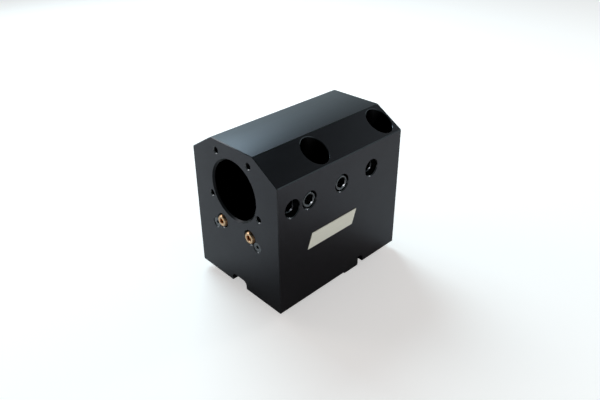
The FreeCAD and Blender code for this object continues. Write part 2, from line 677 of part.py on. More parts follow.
for item in doc.Objects:
    if "Invalid" in item.State or "Error" in item.State:
        raise RuntimeError(f"{item.Label} failed: {item.State}")
for subpart in subparts:
    check(subpart)
os.makedirs("parts", exist_ok=True)
for subpart in subparts:
    subpart.Shape.exportStep(f"parts/{subpart.Label}.step")
    box = subpart.Shape.BoundBox
    print(f"{subpart.Label:24s} {subpart.Shape.Volume:12.1f} mm3"
          f"  x {box.XMin:8.2f} {box.XMax:8.2f}  y {box.YMin:8.2f} {box.YMax:8.2f}"
          f"  z {box.ZMin:8.2f} {box.ZMax:8.2f}")
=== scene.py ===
# Looks of a boring bar holder for a lathe turret: a blackened steel block with its clamp screws, keys,
# coolant nozzles and seals. Lengths in the settings are millimetres; Blender's own units are metres.

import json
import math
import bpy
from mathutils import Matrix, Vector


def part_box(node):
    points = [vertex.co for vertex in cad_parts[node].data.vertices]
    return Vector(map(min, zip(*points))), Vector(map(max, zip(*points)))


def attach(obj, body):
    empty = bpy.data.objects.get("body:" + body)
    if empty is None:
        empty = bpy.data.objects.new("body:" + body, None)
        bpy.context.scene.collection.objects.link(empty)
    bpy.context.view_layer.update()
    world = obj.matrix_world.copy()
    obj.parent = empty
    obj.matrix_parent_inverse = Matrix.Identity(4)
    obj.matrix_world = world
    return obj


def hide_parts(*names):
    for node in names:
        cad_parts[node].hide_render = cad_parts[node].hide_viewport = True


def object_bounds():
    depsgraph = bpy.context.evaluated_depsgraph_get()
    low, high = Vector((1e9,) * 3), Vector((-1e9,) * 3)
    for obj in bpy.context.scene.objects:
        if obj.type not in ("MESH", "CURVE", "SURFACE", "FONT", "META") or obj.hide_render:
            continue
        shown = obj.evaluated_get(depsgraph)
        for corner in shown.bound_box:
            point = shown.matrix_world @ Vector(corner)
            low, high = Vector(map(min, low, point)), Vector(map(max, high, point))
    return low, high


bl_info = {
    "name": "Boring Bar Holder",
    "version": (1, 0, 0),
    "blender": (4, 5, 0),
    "location": "View3D > Sidebar > Bar Holder",
    "description": "Dresses a packed boring bar holder with threads, finishes and a studio",
    "category": "Object",
}

import bmesh
import bpy
from bpy.props import FloatProperty, FloatVectorProperty, IntProperty, PointerProperty, StringProperty
from mathutils import Matrix, Vector

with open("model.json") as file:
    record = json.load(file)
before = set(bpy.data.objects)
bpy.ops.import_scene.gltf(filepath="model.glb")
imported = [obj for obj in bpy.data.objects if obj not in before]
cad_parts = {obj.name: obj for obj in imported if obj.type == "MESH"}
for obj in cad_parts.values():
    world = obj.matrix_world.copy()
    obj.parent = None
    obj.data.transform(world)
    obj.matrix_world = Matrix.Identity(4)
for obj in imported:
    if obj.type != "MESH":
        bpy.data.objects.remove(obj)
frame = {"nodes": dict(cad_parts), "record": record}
CAD_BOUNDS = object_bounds()

MM = 0.001
HOLDER = "holder"
SIDES = ("left", "right")
KEY_PLACES = ("right", "rear", "left", "front")
CLAMP_NUMBERS = (1, 2, 3, 4)
DEEP_CLAMPS = (1, 4)

# Two faces that meet at more than this angle keep a sharp edge between them.
SHARP_ANGLE = math.radians(28)
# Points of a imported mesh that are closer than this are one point.
SAME_POINT = 0.0005 * MM

# Threads: play of a clamp screw in its hole, core of the face holes, and what stays plain on a clamp screw.
SCREW_PLAY = 0.06 * MM
FACE_HOLE_RADIUS = 2.5 * MM
FACE_THREAD_LENGTH = 6.0 * MM
PLAIN_TIP = 0.4 * MM
PLAIN_ENDS = 1.2 * MM

# The block's faces, told apart by how they lean and by how far they lie from its outside.
SQUARE_ON = 0.999
ON_OUTSIDE = 0.05 * MM
LEANING = 0.3
END_EDGE_REACH = 1.6 * MM
SIDE_EDGE_REACH = 1.0 * MM
BASE_EDGE_REACH = 0.6 * MM
SHOULDER_LEAN = (0.8, 0.9)
SHOULDER_FOOT = 105.0 * MM
WELL_RIM_LEAN = (0.15, 0.98)
KEYWAY_ROOF = 9.0 * MM
SMALL_HOLE_REACH = 4.5 * MM
BORE_MOUTH_WIDTH_MM = 2.0

# A nozzle's brass kept out of the painted shade: its recess, and the rim of its flat, so that its highlight
# stays bright.
RECESS_REACH = 2.6 * MM
UNSHADED_RIM = 0.5 * MM

# Finishes: darkest and lightest tone as shares of the colour, spread of the gloss, and stretch of the marks.
CLOUD_TONES = (0.88, 1.12)
SHEET_TONES = (0.93, 1.07)
GRIND_SPREAD = 0.05
GRIND_STRETCH = (1.0, 0.03, 1.0)
RING_SPREAD = 0.06
RING_STRETCH = 0.05
SHEET_STRETCH = (1.0, 0.04, 1.0)

# Studio: the room's dark end lies this many degrees round from the front, roughly where the camera is.
CAMERA_SIDE = 40.6
FLOOR_HALF_SIZE = 6.0
# A grey patch of painted shade on the floor, seen only in reflections: its middle, its reach and its fade.
SHADE_PATCH_MIDDLE = (125 * MM, -115 * MM)
SHADE_PATCH_REACH = (200 * MM, 140 * MM)
SHADE_PATCH_FADE = (0.65, 1.15)
PAPER_GLOW = 0.45
SKY_FADE_DEGREES = (28, 48)
DARK_END_FADE = (0.35, 0.85)
DARK_END_LIGHT = 0.25
SENSOR_WIDTH_MM = 36.0

# Colour sockets of a Mix node, which share their names with its other kinds of socket.
COLOUR_A = 6
COLOUR_B = 7
COLOUR_RESULT = 2


# Settings

class FinishSettings(bpy.types.PropertyGroup):
    """Colours and grain of the finishes"""
    oxide_colour: StringProperty(
        name="Black oxide", description="Blackened block, sRGB hex", default="#464549")
    oxide_roughness: FloatProperty(
        name="Oxide roughness", description="Roughness of the blackened block", default=0.36, min=0, max=1)
    # The lighter oxide is a painted highlight on the chamfers; the keys take the same tone.
    light_oxide_colour: StringProperty(
        name="Lighter oxide", description="Lighter oxide, a painted highlight on the chamfers; the keys share it", default="#4C4D50")
    # The darker oxide inside the holes is painted shade.
    hole_shade_colour: StringProperty(
        name="Hole shade", description="Darker oxide inside the bore, the wells and the threads, as painted shade",
        default="#121213")
    # The bore's mouth is darker than the oxide: painted shade.
    mouth_shade_colour: StringProperty(
        name="Bore mouth", description="Chamfer where the bar goes in, darker as painted shade", default="#29292B")
    # Lit and shaded copies of the screw steel: the lighter is a painted sheen, the darker is painted shade.
    lit_screw_colour: StringProperty(
        name="Lit screw steel", description="Lighter copy of the screw steel, a painted sheen", default="#6A6B6E")
    shaded_screw_colour: StringProperty(
        name="Shaded screws", description="Darker copy of the screw steel, painted shade for screws that lie deeper", default="#3E3F42")
    brass_colour: StringProperty(
        name="Brass", description="Turned brass of the nozzle balls", default="#E8BF98")
    # The darker brass on the balls' round side is painted shade.
    brass_shade_colour: StringProperty(
        name="Brass shade", description="Round side of the balls, darker as painted shade", default="#A67C5A")
    # The lighter steel on the small holes' rims is a painted highlight.
    rim_glint_colour: StringProperty(
        name="Rim glint", description="Lighter steel on the rims of small holes, a painted highlight",
        default="#747476")
    rubber_colour: StringProperty(
        name="Nitrile rubber", description="Seal rings", default="#1A1A1B")
    plate_colour: StringProperty(
        name="Plate", description="Matt aluminium plate", default="#F1EFE0")
    grind_spacing: FloatProperty(
        name="Grinding marks", description="Spacing of the grinding marks, mm", default=0.7, min=0.05)
    mottle_size: FloatProperty(
        name="Mottle", description="Size of the oxide's cloudy patches, mm", default=34.0, min=1)


class ThreadSettings(bpy.types.PropertyGroup):
    """Pitches of the screw threads"""
    clamp_pitch: FloatProperty(name="Clamp pitch", description="M14 coarse pitch, mm", default=2.0, min=0.2)
    face_pitch: FloatProperty(name="Face hole pitch", description="M6 coarse pitch, mm", default=1.0, min=0.2)
    depth_share: FloatProperty(
        name="Depth", description="Groove depth as a share of the pitch", default=0.45, min=0.1, max=0.49)
    segments: IntProperty(name="Segments", description="Steps in one turn of a thread", default=32, min=12)
    shown_turns: IntProperty(
        name="Shown turns", description="Turns cut in a clamp screw's hole, from its mouth", default=7, min=1)


class CameraSettings(bpy.types.PropertyGroup):
    """Where the photograph was taken from"""
    azimuth: FloatProperty(name="Azimuth", description="Round from the front, degrees", default=49.41)
    elevation: FloatProperty(name="Elevation", description="Above the horizon, degrees", default=27.3)
    roll: FloatProperty(name="Roll", description="Turn about the line of sight, degrees", default=-2.23)
    distance: FloatProperty(name="Distance", description="Eye to target, mm", default=514.56, min=1)
    target: FloatVectorProperty(
        name="Target", description="Point on the line of sight, mm", size=3, default=(-42.81, -18.5, 75.55))
    lens: FloatProperty(name="Lens", description="Focal length, mm", default=34.49, min=1)
    shift: FloatVectorProperty(
        name="Shift", description="Shift of the frame", size=2, default=(0.0578, -0.0667))


class StudioSettings(bpy.types.PropertyGroup):
    """Floor, lamps and backdrop"""
    floor_colour: StringProperty(name="Floor", description="Pale floor", default="#F5EEE9")
    # The grey patch is painted shade on the floor, seen only in reflections.
    reflected_shade_colour: StringProperty(
        name="Reflected shade", description="Painted shade on the floor by the near corner, seen only in reflections",
        default="#989593")
    key_power: FloatProperty(name="Key lamp", description="Power, W", default=11.5, min=0)
    key_colour: StringProperty(
        name="Key colour", description="Daylight through a diffuser", default="#D2F2FF")
    rear_power: FloatProperty(name="Rear lamp", description="Power, W", default=0.9, min=0)
    near_power: FloatProperty(name="Near lamp", description="Power, W", default=3.0, min=0)
    left_power: FloatProperty(name="Left lamp", description="Power, W", default=1.6, min=0)
    sky_colour: StringProperty(
        name="Sky", description="The backdrop as the metal reflects it", default="#DAEDF1")
    sky_low: FloatProperty(name="Backdrop", description="Light from the horizon", default=0.68, min=0)
    sky_high: FloatProperty(name="Ceiling", description="Light from overhead", default=0.03, min=0)


# Small helpers

def linear(hex_colour):
    """An sRGB hex colour as linear RGBA."""
    parts = [int(hex_colour[i:i + 2], 16) / 255 for i in (1, 3, 5)]
    curve = [c / 12.92 if c <= 0.04045 else ((c + 0.055) / 1.055) ** 2.4 for c in parts]
    return (*curve, 1.0)


def toned(hex_colour, share):
    """An sRGB hex colour as linear RGBA, darker or lighter by a share."""
    return tuple(min(1.0, c * share) for c in linear(hex_colour)[:3]) + (1.0,)


def towards(azimuth, elevation):
    """Unit vector from degrees round from the front and degrees above the horizon."""
    across = math.radians(azimuth)
    above = math.radians(elevation)
    return Vector((math.sin(across) * math.cos(above), -math.cos(across) * math.cos(above), math.sin(above)))


def new_object(name, data):
    """A new object, linked to the scene."""
    item = bpy.data.objects.new(name, data)
    bpy.context.scene.collection.objects.link(item)
    return item


def add_node(tree, kind, settings=None, inputs=None):
    """A node with its settings and inputs; an input is a value or the socket that feeds it."""
    node = tree.nodes.new(kind)
    for name, value in (settings or {}).items():
        setattr(node, name, value)
    for name, value in (inputs or {}).items():
        if isinstance(value, bpy.types.NodeSocket):
            tree.links.new(value, node.inputs[name])
        else:
            node.inputs[name].default_value = value
    return node


def finish_settings():
    return bpy.context.scene.holder_finish


def thread_settings():
    return bpy.context.scene.holder_threads


def new_material(name, base):
    """A material whose Principled shader has the given plain values, with its tree and shader.

    Where the material is there already, it comes without them, because nothing is left to set."""
    material = bpy.data.materials.get(name)
    if material:
        return material, None, None
    material = bpy.data.materials.new(name)
    material.use_nodes = True
    tree = material.node_tree
    shader = next(n for n in tree.nodes if n.type == "BSDF_PRINCIPLED")
    for socket, value in base.items():
        shader.inputs[socket].default_value = value
    return material, tree, shader


# Finishes

def black_oxide(name, colour, roughness, edge_tint="#FFFFFF"):
    """Black oxide over ground steel: hot blackened magnetite a micron thick on a surface grinder's finish.
    It gives the eye a deep blue grey sheen, faint parallel marks and slightly cloudy patches."""
    look = finish_settings()
    material, tree, shader = new_material(name, {"Metallic": 1.0, "Specular Tint": linear(edge_tint)})
    if tree is None:
        return material
    place = add_node(tree, "ShaderNodeTexCoord").outputs["Object"]
    # Cloudy patches of the blackening bath.
    cloud = add_node(tree, "ShaderNodeTexNoise",
                     inputs={"Vector": place, "Scale": 1 / (look.mottle_size * MM), "Detail": 3.0})
    darkest, lightest = (toned(colour, share) for share in CLOUD_TONES)
    tone = add_node(tree, "ShaderNodeMix", {"data_type": "RGBA"},
                    {"Factor": cloud.outputs["Fac"], COLOUR_A: darkest, COLOUR_B: lightest})
    tree.links.new(tone.outputs[COLOUR_RESULT], shader.inputs["Base Color"])
    # Grinding marks run along the block; a real 0.1 mm spacing is drawn coarser so that it shows.
    stretch = add_node(tree, "ShaderNodeMapping", inputs={"Vector": place, "Scale": GRIND_STRETCH})
    marks = add_node(tree, "ShaderNodeTexNoise",
                     inputs={"Vector": stretch.outputs["Vector"], "Scale": 1 / (look.grind_spacing * MM),
                             "Detail": 2.0, "Roughness": 0.6})
    rough = add_node(tree, "ShaderNodeMapRange",
                     inputs={"Value": marks.outputs["Fac"], "To Min": roughness - GRIND_SPREAD,
                             "To Max": roughness + GRIND_SPREAD})
    tree.links.new(rough.outputs["Result"], shader.inputs["Roughness"])
    bump = add_node(tree, "ShaderNodeBump",
                    inputs={"Height": marks.outputs["Fac"], "Strength": 0.10, "Distance": 0.02 * MM})
    tree.links.new(bump.outputs["Normal"], shader.inputs["Normal"])
    return material


def turned_metal(name, colour, roughness, ring_spacing, axis):
    """Turned metal: fine rings left by the lathe round the piece's axis, ring_spacing mm apart. They give
    the eye a bright, soft gloss."""
    material, tree, shader = new_material(name, {"Metallic": 1.0, "Base Color": linear(colour)})
    if tree is None:
        return material
    place = add_node(tree, "ShaderNodeTexCoord").outputs["Object"]
    scale = [RING_STRETCH] * 3
    scale["XYZ".index(axis)] = 1.0
    stretch = add_node(tree, "ShaderNodeMapping", inputs={"Vector": place, "Scale": scale})
    rings = add_node(tree, "ShaderNodeTexNoise",
                     inputs={"Vector": stretch.outputs["Vector"], "Scale": 1 / (ring_spacing * MM),
                             "Detail": 2.0})
    rough = add_node(tree, "ShaderNodeMapRange",
                     inputs={"Value": rings.outputs["Fac"], "To Min": roughness - RING_SPREAD,
                             "To Max": roughness + RING_SPREAD})
    tree.links.new(rough.outputs["Result"], shader.inputs["Roughness"])
    bump = add_node(tree, "ShaderNodeBump",
                    inputs={"Height": rings.outputs["Fac"], "Strength": 0.12, "Distance": 0.02 * MM})
    tree.links.new(bump.outputs["Normal"], shader.inputs["Normal"])
    return material


def screw_steel(in_shade):
    """Blackened alloy steel of the screws in a lit and a shaded copy: lighter as a painted sheen, or darker as
    painted shade.
    """
    look = finish_settings()
    # The shaded copy is painted shade, the lit copy a painted sheen.
    name, colour = (("shaded_screw_steel", look.shaded_screw_colour) if in_shade
                    else ("lit_screw_steel", look.lit_screw_colour))
    return turned_metal(name, colour, roughness=0.22, ring_spacing=0.3, axis="X")


def moulded_rubber():
    """Moulded nitrile rubber: black, matt, with a fine skin grain."""
    look = finish_settings()
    material, tree, shader = new_material("nitrile_rubber", {"Base Color": linear(look.rubber_colour),
                                                             "Roughness": 0.6, "IOR": 1.52})
    if tree is None:
        return material
    place = add_node(tree, "ShaderNodeTexCoord").outputs["Object"]
    grain = add_node(tree, "ShaderNodeTexNoise", inputs={"Vector": place, "Scale": 1 / (0.4 * MM)})
    bump = add_node(tree, "ShaderNodeBump",
                    inputs={"Height": grain.outputs["Fac"], "Strength": 0.2, "Distance": 0.03 * MM})
    tree.links.new(bump.outputs["Normal"], shader.inputs["Normal"])
    return material


def matt_aluminium():
    """Bead blasted and clear anodised aluminium sheet. It gives the eye a pale, warm and quite matt grey, so
    it is drawn as a scattering surface, with a very fine grain."""
    look = finish_settings()
    material, tree, shader = new_material("matt_anodised_aluminium", {"Roughness": 0.5, "IOR": 1.5})
    if tree is None:
        return material
    place = add_node(tree, "ShaderNodeTexCoord").outputs["Object"]
    stretch = add_node(tree, "ShaderNodeMapping", inputs={"Vector": place, "Scale": SHEET_STRETCH})
    grain = add_node(tree, "ShaderNodeTexNoise",
                     inputs={"Vector": stretch.outputs["Vector"], "Scale": 1 / (0.35 * MM), "Detail": 2.0})
    darkest, lightest = (toned(look.plate_colour, share) for share in SHEET_TONES)
    tone = add_node(tree, "ShaderNodeMix", {"data_type": "RGBA"},
                    {"Factor": grain.outputs["Fac"], COLOUR_A: darkest, COLOUR_B: lightest})
    tree.links.new(tone.outputs[COLOUR_RESULT], shader.inputs["Base Color"])
    return material


# Meshes

def merged_copy(node, name):
    """The node's mesh as a new piece, its loose triangles joined."""
    mesh = frame["nodes"][node].data.copy()
    mesh.name = name
    mesh.materials.clear()
    form = bmesh.new()
    form.from_mesh(mesh)
    bmesh.ops.remove_doubles(form, verts=form.verts, dist=SAME_POINT)
    bmesh.ops.dissolve_degenerate(form, edges=form.edges, dist=SAME_POINT)
    form.to_mesh(mesh)
    form.free()
    return new_object(name, mesh)


def smooth_by_angle(mesh):
    """Smooth faces, kept sharp where two meet at more than the sharp angle."""
    form = bmesh.new()
    form.from_mesh(mesh)
    for face in form.faces:
        face.smooth = True
    for edge in form.edges:
        edge.smooth = len(edge.link_faces) == 2 and edge.calc_face_angle(math.pi) < SHARP_ANGLE
    form.to_mesh(mesh)
    form.free()


def bake_modifiers(piece):
    """Turn the evaluated result into the piece's own plain mesh and clear the modifiers."""
    graph = bpy.context.evaluated_depsgraph_get()
    result = bpy.data.meshes.new_from_object(piece.evaluated_get(graph), depsgraph=graph)
    piece.modifiers.clear()
    piece.data = result


def thread_tree():
    """Geometry Nodes: one closed coil of diamond section, which cuts a thread when taken from a solid."""
    tree = bpy.data.node_groups.get("thread_coil")
    if tree:
        return tree
    tree = bpy.data.node_groups.new("thread_coil", "GeometryNodeTree")
    sockets = [("Radius", "NodeSocketFloat"), ("Groove", "NodeSocketFloat"), ("Height", "NodeSocketFloat"),
               ("Turns", "NodeSocketFloat"), ("Segments", "NodeSocketInt"), ("Finish", "NodeSocketMaterial")]
    for name, kind in sockets:
        tree.interface.new_socket(name, in_out="INPUT", socket_type=kind)
    tree.interface.new_socket("Geometry", in_out="OUTPUT", socket_type="NodeSocketGeometry")
    given = add_node(tree, "NodeGroupInput").outputs
    spiral = add_node(tree, "GeometryNodeCurveSpiral",
                      inputs={"Resolution": given["Segments"], "Rotations": given["Turns"],
                              "Start Radius": given["Radius"], "End Radius": given["Radius"],
                              "Height": given["Height"]})
    upright = add_node(tree, "GeometryNodeSetCurveNormal", {"mode": "Z_UP"},
                       {"Curve": spiral.outputs["Curve"]})
    section = add_node(tree, "GeometryNodeCurvePrimitiveCircle",
                       inputs={"Resolution": 4, "Radius": given["Groove"]})
    coil = add_node(tree, "GeometryNodeCurveToMesh",
                    inputs={"Curve": upright.outputs["Curve"], "Profile Curve": section.outputs["Curve"],
                            "Fill Caps": True})
    real = add_node(tree, "GeometryNodeRealizeInstances", inputs={"Geometry": coil.outputs["Mesh"]})
    painted = add_node(tree, "GeometryNodeSetMaterial",
                       inputs={"Geometry": real.outputs["Geometry"], "Material": given["Finish"]})
    leaving = add_node(tree, "NodeGroupOutput")
    tree.links.new(painted.outputs["Geometry"], leaving.inputs["Geometry"])
    return tree


def thread_coil(radius, pitch, length, origin, direction, material):
    """A coil of the thread's groove, from origin along direction, as a plain mesh object."""
    settings = thread_settings()
    turns = length / pitch
    coil = new_object("thread_coil", bpy.data.meshes.new("thread_coil"))
    modifier = coil.modifiers.new("coil", "NODES")
    modifier.node_group = thread_tree()
    values = {"Radius": radius, "Groove": pitch * settings.depth_share, "Height": length, "Turns": turns,
              "Segments": int(settings.segments * turns), "Finish": material}
    for item in modifier.node_group.interface.items_tree:
        if item.in_out == "INPUT":
            modifier[item.identifier] = values[item.name]
    bake_modifiers(coil)
    turn = Vector(direction).to_track_quat("Z", "Y").to_matrix().to_4x4()
    coil.data.transform(Matrix.Translation(origin) @ turn)
    form = bmesh.new()
    form.from_mesh(coil.data)
    bmesh.ops.recalc_face_normals(form, faces=form.faces)
    form.to_mesh(coil.data)
    form.free()
    return coil


def cut(piece, coils, finish_index=0):
    """Take the coils from the piece, all at once, and give the new faces one of its finishes."""
    joined = bmesh.new()
    for coil in coils:
        joined.from_mesh(coil.data)
    for face in joined.faces:
        face.material_index = finish_index
    cutter = new_object("cutter", bpy.data.meshes.new("cutter"))
    joined.to_mesh(cutter.data)
    joined.free()
    modifier = piece.modifiers.new("cut", "BOOLEAN")
    modifier.operation = "DIFFERENCE"
    modifier.solver = "MANIFOLD"
    modifier.object = cutter
    before = len(piece.data.polygons)
    bake_modifiers(piece)
    if len(piece.data.polygons) <= before:
        raise RuntimeError(f"{piece.name}: its thread wasn't cut")
    for used in (cutter, *coils):
        bpy.data.objects.remove(used)


def settle(piece, node, body, material):
    """Put the piece in its node's place, with a finish unless it has its own already."""
    if material is not None:
        piece.data.materials.clear()
        piece.data.materials.append(material)
        for face in piece.data.polygons:
            face.material_index = 0
    smooth_by_angle(piece.data)
    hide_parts(node)
    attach(piece, body)


def centre_of(node):
    low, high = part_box(node)
    return (low + high) / 2


# Pieces

class HOLDER_OT_block(bpy.types.Operator):
    """Blackened block with its threads cut"""
    bl_idname = "holder.block"
    bl_label = "Block"

    def execute(self, context):
        look = finish_settings()
        oxide = black_oxide("ground_black_oxide", look.oxide_colour, look.oxide_roughness)
        # Painted highlight: a lighter oxide on the edges and chamfers.
        edge = black_oxide("edge_highlight_oxide", look.light_oxide_colour, roughness=0.22)
        # Painted shade: a darker oxide with a dark edge tint for the bore, the wells and the threads.
        dark = black_oxide("hole_shade_oxide", look.hole_shade_colour, roughness=0.3, edge_tint="#1E1E1E")
        piece = merged_copy("holder_body", "block")
        # Painted highlight: lighter steel on the rims of the small holes.
        rim_glint = turned_metal("rim_glint_steel", look.rim_glint_colour, roughness=0.25, ring_spacing=0.3, axis="Y")
        # Painted shade: a darker oxide on the chamfer of the bore's mouth.
        mouth = black_oxide("bore_mouth_shade", look.mouth_shade_colour, roughness=0.3)
        for material in (oxide, edge, dark, rim_glint, mouth):
            piece.data.materials.append(material)
        low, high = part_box("holder_body")
        self.paint(piece.data, low, high, self.small_holes())
        cutters = self.clamp_threads(high, dark) + self.face_threads(dark)
        cut(piece, cutters, finish_index=piece.data.materials.find(dark.name))
        settle(piece, "holder_body", HOLDER, None)
        return {"FINISHED"}

    def paint(self, mesh, low, high, small_holes):
        """Give each face its finish, told by place and slope: ground outside, a painted highlight on the edges
        and on the small holes' rims, and painted shade in the holes and on the bore's mouth.
        """
        ground, chamfer, wall, rim, mouth = 0, 1, 2, 3, 4
        bore = next(m for m in frame["record"]["mounts"] if m["name"] == "bar_bore")
        bore_height = bore["pos_m"][2]
        bore_reach = (bore["dims"]["r_mm"] + BORE_MOUTH_WIDTH_MM) * MM
        for face in mesh.polygons:
            normal, centre = face.normal, face.center
            in_x = min(centre.x - low.x, high.x - centre.x)
            in_y = min(centre.y - low.y, high.y - centre.y)
            in_z = min(centre.z - low.z, high.z - centre.z)
            high_up = centre.z > SHOULDER_FOOT
            flat = max(abs(c) for c in normal) > SQUARE_ON and min(in_x, in_y, in_z) < ON_OUTSIDE
            shoulder = high_up and abs(normal.y) < 0.01 and SHOULDER_LEAN[0] < normal.z < SHOULDER_LEAN[1]
            slope_at_end = in_y < END_EDGE_REACH and abs(normal.y) > LEANING
            slope_in_side = in_x < SIDE_EDGE_REACH and abs(normal.x) > LEANING
            slope_below = in_z < BASE_EDGE_REACH and abs(normal.z) > LEANING
            rim_of_well = high_up and WELL_RIM_LEAN[0] < normal.z < WELL_RIM_LEAN[1]
            near_small_hole = any((centre - place).length < SMALL_HOLE_REACH for place in small_holes)
            at_bore = math.hypot(centre.x, centre.z - bore_height) < bore_reach
            if flat or shoulder:
                face.material_index = ground
            # Rims of the small holes take the painted highlight.
            elif slope_at_end and near_small_hole:
                face.material_index = rim
            # The bore's mouth takes the painted shade.
            elif slope_at_end and at_bore:
                face.material_index = mouth
            # Edges and chamfers take the painted highlight.
            elif slope_at_end or slope_in_side or slope_below or rim_of_well:
                face.material_index = chamfer
            elif centre.z < KEYWAY_ROOF:
                face.material_index = ground
            # Faces inside the block take the painted shade.
            else:
                face.material_index = wall

    def clamp_threads(self, high, material):
        """Coils that cut the clamp screws' threads, from just under the mouths of their holes."""
        pitch = thread_settings().clamp_pitch * MM
        cutters = []
        for number in CLAMP_NUMBERS:
            low_screw, high_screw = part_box(f"bar_clamp_screw_{number}")
            centre = (low_screw + high_screw) / 2
            radius = (high_screw.z - low_screw.z) / 2 + SCREW_PLAY
            length = thread_settings().shown_turns * pitch
            run_in = pitch * thread_settings().depth_share
            origin = Vector((high.x - run_in - length, centre.y, centre.z))
            cutters.append(thread_coil(radius, pitch, length, origin, (1, 0, 0), material))
        return cutters

    def small_holes(self):
        """Mouths of the tapped holes in the front face."""
        places = []
        for mount in frame["record"]["mounts"]:
            if mount["name"].endswith("face_threads"):
                half = mount["dims"]["spacing_x_mm"] / 2 * MM
                places += [Vector(mount["pos_m"]) + Vector((side, 0, 0)) for side in (-half, half)]
        return places

    def face_threads(self, material):
        """Coils that cut the threads of the tapped holes in the front face."""
        pitch = thread_settings().face_pitch * MM
        length = FACE_THREAD_LENGTH
        inwards = Vector((0, length, 0))
        return [thread_coil(FACE_HOLE_RADIUS, pitch, length, place + inwards, (0, -1, 0), material)
                for place in self.small_holes()]


class HOLDER_OT_clamp_screws(bpy.types.Operator):
    """Four threaded clamp screws"""
    bl_idname = "holder.clamp_screws"
    bl_label = "Clamp screws"

    def execute(self, context):
        pitch = thread_settings().clamp_pitch * MM
        for number in CLAMP_NUMBERS:
            # The deep screws take the shaded copy, as painted shade.
            steel = screw_steel(in_shade=number in DEEP_CLAMPS)
            node = f"bar_clamp_screw_{number}"
            low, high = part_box(node)
            piece = merged_copy(node, f"clamp_screw_{number}_threaded")
            piece.data.materials.append(steel)
            centre = (low + high) / 2
            origin = Vector((low.x + PLAIN_TIP, centre.y, centre.z))
            radius = (high.z - low.z) / 2
            length = high.x - low.x - PLAIN_ENDS
            coil = thread_coil(radius, pitch, length, origin, (1, 0, 0), steel)
            cut(piece, [coil])
            settle(piece, node, f"clamp_screw_{number}", steel)
        return {"FINISHED"}


class HOLDER_OT_nozzles(bpy.types.Operator):
    """Brass nozzle balls with their lock screws"""
    bl_idname = "holder.nozzles"
    bl_label = "Nozzles"

    def execute(self, context):
        look = finish_settings()
        brass = turned_metal("turned_brass", look.brass_colour, roughness=0.17, ring_spacing=0.25, axis="Y")
        # Painted shade: a darker brass for the round side of the balls.
        flank_shade = turned_metal("brass_flank_shade", look.brass_shade_colour, roughness=0.22, ring_spacing=0.25,
                               axis="Y")
        # The lock screws take the lit copy, a painted sheen.
        steel = screw_steel(in_shade=False)
        for side in SIDES:
            ball = merged_copy(f"coolant_nozzle_{side}", f"nozzle_ball_{side}")
            ball.data.materials.append(brass)
            ball.data.materials.append(flank_shade)
            self.paint_flank_shade(ball.data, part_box(f"coolant_nozzle_{side}")[0].y, centre_of(f"coolant_nozzle_{side}"))
            settle(ball, f"coolant_nozzle_{side}", f"nozzle_{side}", None)
            screw = merged_copy(f"nozzle_lock_screw_{side}", f"lock_screw_{side}")
            settle(screw, f"nozzle_lock_screw_{side}", f"lock_{side}", steel)
        return {"FINISHED"}

    def paint_flank_shade(self, mesh, front, middle):
        """The ball's round side is darkened as painted shade, but not its flat, the flat's rim and what lies
        in the recess.
        """
        unshaded, flank_shade = 0, 1
        for face in mesh.polygons:
            on_flat = face.center.y < front + UNSHADED_RIM
            in_recess = math.hypot(face.center.x - middle.x, face.center.z - middle.z) < RECESS_REACH
            face.material_index = unshaded if on_flat or in_recess else flank_shade


class HOLDER_OT_keys(bpy.types.Operator):
    """Locating keys and their cap screws"""
    bl_idname = "holder.keys"
    bl_label = "Keys"

    def execute(self, context):
        look = finish_settings()
        ground = black_oxide("ground_key_steel", look.light_oxide_colour, roughness=0.32)
        # The key screws take the shaded copy, as painted shade.
        steel = screw_steel(in_shade=True)
        for where in KEY_PLACES:
            key = merged_copy(f"locating_key_{where}", f"key_{where}")
            settle(key, f"locating_key_{where}", HOLDER, ground)
            screw = merged_copy(f"key_screw_{where}", f"cap_screw_{where}")
            settle(screw, f"key_screw_{where}", HOLDER, steel)
        return {"FINISHED"}


class HOLDER_OT_seals(bpy.types.Operator):
    """Rubber seals and the cross channel's plug"""
    bl_idname = "holder.seals"
    bl_label = "Seals and plug"

    def execute(self, context):
        rubber = moulded_rubber()
        # The plug takes the lit copy, a painted sheen.
        steel = screw_steel(in_shade=False)
        for node in ("nozzle_seat_ring_left", "nozzle_seat_ring_right", "inlet_seal_ring"):
            ring = merged_copy(node, f"{node}_moulded")
            settle(ring, node, HOLDER, rubber)
        plug = merged_copy("cross_channel_plug", "channel_plug")
        settle(plug, "cross_channel_plug", HOLDER, steel)
        return {"FINISHED"}


class HOLDER_OT_plate(bpy.types.Operator):
    """Bare pale plate on the right side"""
    bl_idname = "holder.plate"
    bl_label = "Side plate"

    def execute(self, context):
        plate = merged_copy("side_plate", "bare_plate")
        settle(plate, "side_plate", HOLDER, matt_aluminium())
        return {"FINISHED"}


